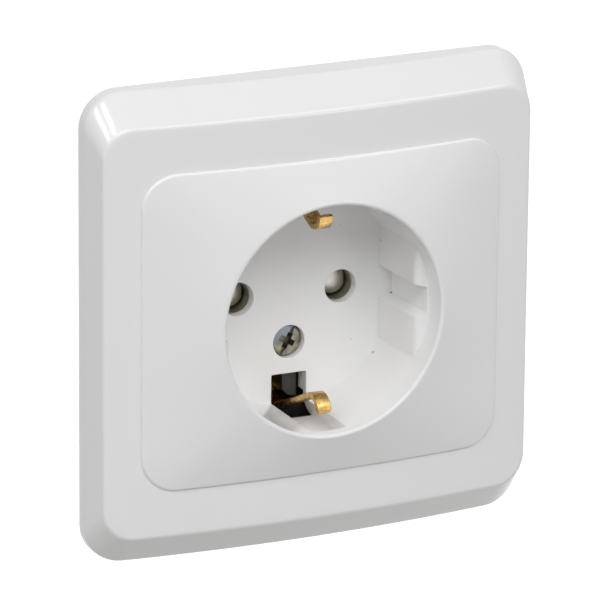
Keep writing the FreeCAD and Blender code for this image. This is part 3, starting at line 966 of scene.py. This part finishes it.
def plate_body(edge_round):
    """The centre plate before its recess is cut: raised field, skirt, cup and housings."""
    rim = circle(RIM_RADIUS, -RIM_HEIGHT)
    crown = outline(PLATE_HALF_X, PLATE_HALF_Z, PLATE_CORNER, mid=PLATE_MID)
    foot = outline(PLATE_HALF_X, PLATE_HALF_Z, PLATE_CORNER, mid=LEDGE_MID)
    neck_x = PLATE_HALF_X - SKIRT_INSET
    neck_z = PLATE_HALF_Z - SKIRT_INSET
    neck_top = outline(neck_x, neck_z, SKIRT_CORNER, mid=LEDGE_MID)
    neck_rear = outline(neck_x, neck_z, SKIRT_CORNER, flat=SKIRT_REAR)
    inner_x = neck_x - SKIRT_WALL
    inner_z = neck_z - SKIRT_WALL
    inner_rear = outline(inner_x, inner_z, SKIRT_INNER_CORNER, flat=SKIRT_REAR)
    inner_top = outline(inner_x, inner_z, SKIRT_INNER_CORNER, mid=LEDGE_MID)
    cup_top = circle(CUP_RADIUS, PLATE_WALL - RIM_HEIGHT)
    cup_rear = circle(CUP_RADIUS, FLOOR_REAR)
    rings = [rim]
    for share in (0.03, 0.2, 0.4, 0.6, 0.8):
        rings.append(between(rim, crown, share))
    rings += rounded(rim, crown, foot, edge_round, 6)
    rings += [foot, neck_top, neck_rear, inner_rear, inner_top, cup_top, cup_rear]
    body = tube(rings, caps=True)
    # Each addition starts a little inside the body, so that they join
    housings = []
    wall = WINDOW_HALF + HOUSING_WALL
    for sign in (-1, 1):
        low, high = sorted((sign * HOUSING_IN, sign * HOUSING_REACH))
        housings.append(block(-wall, wall, HOUSING_FRONT, FLOOR_REAR - 0.1, low, high))
        low, high = sorted((sign * (WINDOW_TOP - HOUSING_WALL), sign * HOUSING_REACH))
        housings.append(block(-wall, wall, FLOOR_REAR - 0.5, SHROUD_REAR, low, high))
    boss = [(SCREW_BOSS, FLOOR_REAR - 0.5), (SCREW_BOSS, BOSS_REAR)]
    housings.append(turned(boss, 0, SCREW_Z))
    return combine(body, housings, "UNION")


def window_relief(sign):
    """Room behind the outer end of a window, where its side walls end in a curve."""
    curve = GROOVE_REACH - WINDOW_END
    outside = sign * (HOUSING_REACH + 1)
    points = [(WINDOW_FRONT, outside)]
    for across, along in quarter(12):
        points.append((WINDOW_FRONT + curve * along, sign * (WINDOW_END + curve * across)))
    points += [(CUT_REAR, sign * WINDOW_END), (CUT_REAR, outside)]
    half = WINDOW_HALF + RELIEF_MARGIN
    return prism(points, "X", -half, half)


def land_block(side):
    """The guide lands of one side, rounded at the front, with the gap between them."""
    profile = [(LAND_FLOOR - 0.02, FLOOR_Y + 1.0), (LAND_FLOOR, FLOOR_Y)]
    for across, along in quarter(6):
        x = LAND_FRONT + LAND_ROUND * (1 - across)
        y = LAND_FRONT_Y + LAND_ROUND * (1 - along)
        profile.append((x, y))
    profile += [(LAND_OUT, LAND_FRONT_Y), (LAND_OUT, FLOOR_Y + 1.0)]
    points = [(side * x, y) for x, y in profile]
    lands = prism(points, "Z", -LAND_HALF, LAND_HALF)
    gap = [
        (side * (LAND_FLOOR - 1), NOTCH_FACE),
        (side * LAND_FLOOR, NOTCH_FACE),
        (side * NOTCH_DEPTH, NOTCH_BACK),
        (side * NOTCH_DEPTH, -NOTCH_BACK),
        (side * LAND_FLOOR, -NOTCH_FACE),
        (side * (LAND_FLOOR - 1), -NOTCH_FACE),
    ]
    notch = prism(gap, "Y", LAND_FRONT_Y - 1.0, FLOOR_Y + 2.0)
    work = combine(lands, [notch], "DIFFERENCE")
    corners = [e for e in work.edges if e.is_manifold and e.calc_face_angle() > math.radians(40)]
    bmesh.ops.bevel(
        work,
        geom=corners,
        offset=LAND_EDGE,
        segments=4,
        profile=0.5,
        affect="EDGES",
        clamp_overlap=True,
    )
    return work


def recess_air():
    """The round hollow that the plug fills, without the lands."""
    profile = [(MOUTH_START, -RIM_HEIGHT - 0.12), (MOUTH_END, -RIM_HEIGHT + 0.03)]
    for across, along in quarter(7)[1:]:
        radius = LIP_RADIUS + LIP_ROUND * (1 - along)
        profile.append((radius, -RIM_HEIGHT + 0.05 + LIP_ROUND * (1 - across)))
    for across, along in quarter(6):
        radius = FLOOR_RADIUS - FLOOR_ROUND + FLOOR_ROUND * across
        profile.append((radius, FLOOR_Y - FLOOR_ROUND + FLOOR_ROUND * along))
    air = turned(profile, count=288)
    return combine(air, [land_block(1), land_block(-1)], "DIFFERENCE")


def floor_hole(radius, rear, x, z):
    """A cutter for a round hole in the recess floor, with its mouth rounded."""
    profile = [
        (radius + 0.15, FLOOR_Y - 0.05),
        (radius + 0.05, FLOOR_Y + 0.05),
        (radius, FLOOR_Y + 0.2),
        (radius, rear),
    ]
    return turned(profile, x, z, 72)


class SOCKET_OT_centre_plate(bpy.types.Operator):
    """Makes the centre plate with the plug recess, its lands, grooves, windows and holes"""

    bl_idname = "socket.centre_plate"
    bl_label = "Centre plate"

    def execute(self, context):
        body = plate_body(context.scene.socket_shape.plate_edge / MM)
        half = WINDOW_HALF
        reach = GROOVE_REACH
        rear = FLOOR_Y - 0.01
        cuts = [
            recess_air(),
            soft_block(-half, half, GROOVE_FRONT, rear, -reach, reach, GROOVE_CORNER),
        ]
        for sign in (-1, 1):
            low, high = sorted((sign * WINDOW_TOP, sign * (HOUSING_REACH + 1)))
            cuts.append(
                soft_block(-half, half, WINDOW_FRONT, CUT_REAR, low, high, WINDOW_CORNER)
            )
            cuts.append(window_relief(sign))
        for side in (-1, 1):
            cuts.append(floor_hole(PIN_HOLE, CUT_REAR, side * PIN_X, 0))
        cuts.append(floor_hole(SCREW_HOLE, SCREW_SEAT, 0, SCREW_Z))
        clearance = SHANK_RADIUS + 0.25
        cuts.append(turned([(clearance, 5.0), (clearance, CUT_REAR)], 0, SCREW_Z))
        work = combine(body, cuts, "DIFFERENCE")
        finish_piece(
            work,
            "centre_plate_moulding",
            finish("moulded_white_polycarbonate"),
            ["centre_plate"],
            weighted=True,
        )
        return {"FINISHED"}


class SOCKET_OT_cover_screw(bpy.types.Operator):
    """Makes the screw of the centre plate with its domed head and cross-and-slot recess"""

    bl_idname = "socket.cover_screw"
    bl_label = "Cover screw"

    def execute(self, context):
        top = HEAD_FRONT - HEAD_DOME
        profile = [(0.02, top)]
        for i in range(1, 9):
            radius = HEAD_FLAT * i / 8
            profile.append((radius, top + HEAD_DOME * (radius / HEAD_RADIUS) ** 2))
        profile += [
            (HEAD_RADIUS - 0.16, HEAD_FRONT + 0.06),
            (HEAD_RADIUS - 0.04, HEAD_FRONT + 0.22),
            (HEAD_RADIUS, HEAD_FRONT + 0.42),
            (HEAD_RADIUS, SCREW_SEAT),
            (SHANK_RADIUS, SCREW_SEAT),
            (SHANK_RADIUS, SHANK_END - 0.5),
            (SHANK_RADIUS - 0.4, SHANK_END),
        ]
        head = turned(profile, 0, SCREW_Z)
        start = top - 0.1
        foot = top + CROSS_DEPTH
        arm = [(-CROSS_HALF, start), (CROSS_HALF, start), (CROSS_FOOT, foot), (-CROSS_FOOT, foot)]
        tools = [(prism(arm, "Z", -CROSS_ARM, CROSS_ARM), turn) for turn in (0, 90)]
        slot = block(-SLOT_LENGTH, SLOT_LENGTH, start, top + SLOT_DEPTH, -SLOT_HALF, SLOT_HALF)
        tools.append((slot, 0))
        cutters = []
        for tool, turn in tools:
            spin = Matrix.Rotation(math.radians(turn - SLOT_TURN), 4, "Y")
            bmesh.ops.transform(tool, matrix=spin, verts=tool.verts)
            bmesh.ops.translate(tool, vec=(0, 0, SCREW_Z), verts=tool.verts)
            cutters.append(tool)
        work = combine(head, cutters, "DIFFERENCE")
        steel = finish("passivated_screw_steel")
        finish_piece(
            work, "cover_screw_plated", steel, ["cover_screw"], 30
        )
        return {"FINISHED"}


def strap_line():
    """Points along half of the strap's middle line in the YZ plane, from the tip of a clip."""
    rise = math.radians(CLIP_RISE)
    fall = math.radians(CLIP_FALL)
    centre_z = CLIP_CONTACT + STRIP_THICK / 2 + CLIP_BEND
    reach = CLIP_BEND * math.tan((rise + fall) / 2)
    touch = Vector(
        (CLIP_PEAK_Y + CLIP_BEND * math.sin(rise), centre_z - CLIP_BEND * math.cos(rise))
    )
    knee = touch - Vector((math.cos(rise), math.sin(rise))) * reach
    tip = knee + Vector((-math.cos(fall), math.sin(fall))) * (reach + CLIP_TIP)
    heel = Vector((knee.x + (LEG_Z - knee.y) / math.tan(rise), LEG_Z))
    corner = Vector((WEB_Y, LEG_Z))
    middle = Vector((WEB_Y, 0.0))
    return [tip, knee, heel, corner, middle], [CLIP_BEND, LEG_BEND, WEB_BEND]


def softened(points, bends):
    """The line with each inner point turned into an arc of its bend."""
    line = [points[0]]
    for i, radius in enumerate(bends):
        before, at, after = points[i], points[i + 1], points[i + 2]
        a = (before - at).normalized()
        b = (after - at).normalized()
        half = a.angle(b) / 2
        reach = radius / math.tan(half)
        centre = at + (a + b).normalized() * (radius / math.sin(half))
        start = at + a * reach - centre
        end = at + b * reach - centre
        sweep = start.angle_signed(end)
        steps = max(6, int(abs(math.degrees(sweep)) / 4))
        for k in range(steps + 1):
            spin = Matrix.Rotation(-sweep * k / steps, 2)
            line.append(centre + spin @ start)
    line.append(points[-1])
    return line


def strap_half_width(place):
    """Half the strip's width at a place on its line."""

    def ease(low, high, value):
        t = min(max((value - low) / (high - low), 0.0), 1.0)
        return t * t * (3 - 2 * t)

    neck = ease(NECK_FROM, NECK_TO, place.x)
    web = ease(-WEB_FROM, -WEB_TO, -abs(place.y)) if place.x > WEB_Y - WEB_MARGIN else 0.0
    return CLIP_HALF + (NECK_HALF - CLIP_HALF) * neck + (WEB_HALF - NECK_HALF) * web


class SOCKET_OT_earth_strap(bpy.types.Operator):
    """Makes the brass strap with its two springy earth clips"""

    bl_idname = "socket.earth_strap"
    bl_label = "Earth strap"

    def execute(self, context):
        points, bends = strap_line()
        half = softened(points, bends)
        fine = [half[0]]
        for a, b in zip(half, half[1:]):
            count = max(1, int((b - a).length / STRIP_STEP))
            fine += [a.lerp(b, (k + 1) / count) for k in range(count)]
        line = fine + [Vector((p.x, -p.y)) for p in reversed(fine[:-1])]
        rings = []
        for i, place in enumerate(line):
            ahead = line[min(i + 1, len(line) - 1)]
            back = line[max(i - 1, 0)]
            along = (ahead - back).normalized()
            normal = Vector((-along.y, along.x))
            width = strap_half_width(place)
            thick = STRIP_THICK / 2
            if i in (0, len(line) - 1):
                width -= STRIP_END
                thick -= STRIP_END
            ring = []
            section = soft_rectangle(-width, width, -thick, thick, STRIP_EDGE, 3)
            for across, through in section:
                spot = place + normal * through
                ring.append(Vector((across, spot.x, spot.y)))
            rings.append(ring)
        work = tube(rings, caps=True)
        front = WEB_Y - WEB_MARGIN
        rear = WEB_Y + WEB_MARGIN
        holes = [turned([(radius, front), (radius, rear)], 0, z, 48) for radius, z in STRAP_HOLES]
        work = combine(work, holes, "DIFFERENCE")
        brass = finish("stamped_brass_strip")
        finish_piece(work, "earth_strap_brass", brass, ["earth_strap"], 50)
        return {"FINISHED"}


class SOCKET_OT_pin_contacts(bpy.types.Operator):
    """Makes the two sleeves that take the pins, with their arms, and the light blades in them"""

    bl_idname = "socket.pin_contacts"
    bl_label = "Pin contacts"

    def execute(self, context):
        profile = [
            (0.05, SLEEVE_REAR),
            (SLEEVE_OUT - 0.1, SLEEVE_REAR),
            (SLEEVE_OUT, SLEEVE_REAR - 0.1),
            (SLEEVE_OUT, SLEEVE_FRONT + 0.15),
            (SLEEVE_NOSE, SLEEVE_FRONT + 0.05),
            (SLEEVE_NOSE, NOSE_FRONT + 0.05),
            (SLEEVE_NOSE - 0.05, NOSE_FRONT),
            (SLEEVE_MOUTH, NOSE_FRONT),
            (SLEEVE_MOUTH - 0.05, SLEEVE_FRONT + 1.6),
            (SLEEVE_IN, SLEEVE_FRONT + 3.0),
            (SLEEVE_IN - 0.5, SLEEVE_FRONT + 5.0),
            (SLEEVE_IN - 1.0, SLEEVE_FRONT + 6.4),
            (0.05, SLEEVE_FRONT + 7.2),
        ]
        dome = []
        for i in range(10):
            radius = 0.05 + (BLADE_RADIUS - 0.1) * i / 9
            dome.append((radius, BLADE_Y + BLADE_BOW * (radius / BLADE_RADIUS) ** 2))
        dome += [(BLADE_RADIUS, BLADE_Y + 0.85), (BLADE_RADIUS, BLADE_Y + 4.0)]
        for side, name in ((1, "line_contact"), (-1, "neutral_contact")):
            x = side * PIN_X
            disc = turned(dome, x, BLADE_RISE, 72)
            # The disc ends in a straight edge on its right
            kept = block(x - 4.0, x + BLADE_END, BLADE_Y - 1, BLADE_Y + 5, -4.0, 4.0)
            blade = combine(disc, [kept], "INTERSECT")
            bright = finish("nickel_plated_brass")
            finish_piece(blade, f"{name}_blade", bright, [])
            sleeve = turned(profile, x, 0, 72)
            neck = sorted((side * (PIN_X + ARM_IN), side * ARM_OUT))
            head = sorted((side * BAR_IN, side * BAR_OUT))
            arms = [
                block(*neck, ARM_FRONT, ARM_REAR, -ARM_HALF, ARM_HALF),
                block(*head, ARM_FRONT, ARM_REAR, -BAR_HALF, BAR_HALF),
            ]
            work = combine(sleeve, arms, "UNION")
            dull = finish("tarnished_nickel_brass")
            finish_piece(work, f"{name}_sleeve", dull, [name])
        return {"FINISHED"}


class SOCKET_OT_base_and_metal(bpy.types.Operator):
    """Gives the base, the support plate and the small fasteners their finishes"""

    bl_idname = "socket.base_and_metal"
    bl_label = "Base and metal parts"

    def execute(self, context):
        names = list(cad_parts)
        plated = ("_rivet", "_terminal_screw", "_clamp_plate")
        dress(["base"], finish("moulded_anthracite_thermoset"))
        dress(["support_plate"], finish("zinc_plated_steel"))
        dress([name for name in names if name.endswith(plated)], finish("zinc_plated_steel"))
        dress([name for name in names if name.endswith("_spring")], finish("blued_spring_steel"))
        dress(["cover_screw_bush"], finish("stamped_brass_strip"))
        return {"FINISHED"}


def background_rays(tree):
    """One for camera, glossy and transmission rays, nought for rays that light the object."""
    path = add_node(tree, "ShaderNodeLightPath")
    seen = add_node(
        tree,
        "ShaderNodeMath",
        {"operation": "MAXIMUM"},
        {0: (path, "Is Camera Ray"), 1: (path, "Is Glossy Ray")},
    )
    return add_node(
        tree,
        "ShaderNodeMath",
        {"operation": "MAXIMUM"},
        {0: (seen, "Value"), 1: (path, "Is Transmission Ray")},
    )


def add_world(scene, ambient):
    """A world that is white where it is seen or mirrored, and dimmer where it lights the object."""
    world = bpy.data.worlds.new("studio_white")
    world.use_nodes = True
    tree = world.node_tree
    tree.nodes.clear()
    bright = add_node(
        tree,
        "ShaderNodeMapRange",
        inputs={"Value": (background_rays(tree), "Value"), "To Min": ambient, "To Max": 1.0},
    )
    sky = add_node(
        tree,
        "ShaderNodeBackground",
        inputs={"Color": (1.0, 1.0, 1.0, 1.0), "Strength": (bright, "Result")},
    )
    add_node(tree, "ShaderNodeOutputWorld", inputs={"Surface": (sky, "Background")})
    scene.world = world


def add_floor(scene):
    """A pale paper floor, with the white of the background added over its own light and shadow.

    That sum is at white or above it, so the picture shows no shadow, as in the photograph.
    """
    work = bmesh.new()
    bmesh.ops.create_circle(work, cap_ends=True, segments=96, radius=FLOOR_SIZE)
    floor = bpy.data.objects.new("studio_floor", as_mesh(work, "studio_floor"))
    floor.location = (0, 0, -FLOOR_DROP)
    scene.collection.objects.link(floor)
    material, tree = new_finish("matt_pale_paper")
    paper = add_node(tree, "ShaderNodeBsdfDiffuse", inputs={"Color": (*linear("#BEBEBC"), 1.0)})
    glow = add_node(
        tree,
        "ShaderNodeEmission",
        inputs={"Color": (1.0, 1.0, 1.0, 1.0), "Strength": (background_rays(tree), "Value")},
    )
    look = add_node(
        tree, "ShaderNodeAddShader", inputs={0: (paper, "BSDF"), 1: (glow, "Emission")}
    )
    add_node(tree, "ShaderNodeOutputMaterial", inputs={"Surface": (look, "Shader")})
    floor.data.materials.append(material)


def add_lamp(scene, name, direction, width, height, power):
    """A softbox that looks at the origin."""
    lamp = bpy.data.lights.new(name, "AREA")
    lamp.shape = "RECTANGLE"
    lamp.size = width
    lamp.size_y = height
    lamp.energy = power
    box = bpy.data.objects.new(name, lamp)
    towards = Vector(direction).normalized()
    box.location = towards * LAMP_DISTANCE
    box.rotation_mode = "QUATERNION"
    box.rotation_quaternion = towards.to_track_quat("Z", "Y")
    scene.collection.objects.link(box)


def bearing(azimuth, elevation):
    """The direction from the origin at those angles, in radians, left of the front and up."""
    return Vector(
        (
            -math.sin(azimuth) * math.cos(elevation),
            -math.cos(azimuth) * math.cos(elevation),
            math.sin(elevation),
        )
    )


def add_camera(scene, focal):
    """The camera, at the photograph's viewing angle."""
    lens = bpy.data.cameras.new("camera")
    lens.sensor_width = 36.0
    lens.lens = focal
    lens.clip_start = 0.05
    lens.clip_end = 20.0
    camera = bpy.data.objects.new("camera", lens)
    place = bearing(math.radians(CAMERA_AZIMUTH), math.radians(CAMERA_ELEVATION))
    camera.location = CAMERA_DISTANCE * place
    aim = math.radians(AIM_AZIMUTH)
    roll = math.radians(CAMERA_ROLL)
    back = bearing(aim, math.radians(AIM_ELEVATION))
    right = Vector((math.cos(aim), -math.sin(aim), 0.0))
    up = back.cross(right)
    side = right * math.cos(roll) + up * math.sin(roll)
    top = up * math.cos(roll) - right * math.sin(roll)
    turn = Matrix((side, top, back)).transposed()
    camera.rotation_mode = "QUATERNION"
    camera.rotation_quaternion = turn.to_quaternion()
    scene.collection.objects.link(camera)
    scene.camera = camera


class SOCKET_OT_stage(bpy.types.Operator):
    """Makes the white world, the pale floor far below, the soft light and the camera"""

    bl_idname = "socket.stage"
    bl_label = "Stage"

    def execute(self, context):
        scene = context.scene
        stage = scene.socket_stage
        scene.view_settings.view_transform = "Standard"
        add_world(scene, stage.ambient)
        add_floor(scene)
        for name, direction, width, height, power, share in LAMPS:
            add_lamp(scene, name, direction, width, height, getattr(stage, power) * share)
        add_camera(scene, stage.lens)
        return {"FINISHED"}


class SOCKET_PT_sidebar(bpy.types.Panel):
    """Lists the pieces of the wall socket"""

    bl_idname = "SOCKET_PT_sidebar"
    bl_label = "Wall socket"
    bl_space_type = "VIEW_3D"
    bl_region_type = "UI"
    bl_category = "Wall socket"

    def draw(self, context):
        layout = self.layout
        for group in ("socket_shape", "socket_colours", "socket_stage"):
            settings = getattr(context.scene, group)
            box = layout.box()
            for key in settings.bl_rna.properties.keys():
                if key not in ("rna_type", "name"):
                    box.prop(settings, key)
        for piece in PIECES:
            layout.operator(piece.bl_idname)


PIECES = (
    SOCKET_OT_stage,
    SOCKET_OT_cover_frame,
    SOCKET_OT_centre_plate,
    SOCKET_OT_cover_screw,
    SOCKET_OT_earth_strap,
    SOCKET_OT_pin_contacts,
    SOCKET_OT_base_and_metal,
)
CLASSES = (SocketShape, SocketColours, SocketStage, *PIECES, SOCKET_PT_sidebar)


def register():
    for item in CLASSES:
        bpy.utils.register_class(item)
    bpy.types.Scene.socket_shape = PointerProperty(type=SocketShape)
    bpy.types.Scene.socket_colours = PointerProperty(type=SocketColours)
    bpy.types.Scene.socket_stage = PointerProperty(type=SocketStage)


def unregister():
    del bpy.types.Scene.socket_stage
    del bpy.types.Scene.socket_colours
    del bpy.types.Scene.socket_shape
    for item in reversed(CLASSES):
        bpy.utils.unregister_class(item)


def main():
    register()
    bpy.ops.socket.stage()
    bpy.ops.socket.cover_frame()
    bpy.ops.socket.centre_plate()
    bpy.ops.socket.cover_screw()
    bpy.ops.socket.earth_strap()
    bpy.ops.socket.pin_contacts()
    bpy.ops.socket.base_and_metal()


if __name__ == "__main__":
    main()
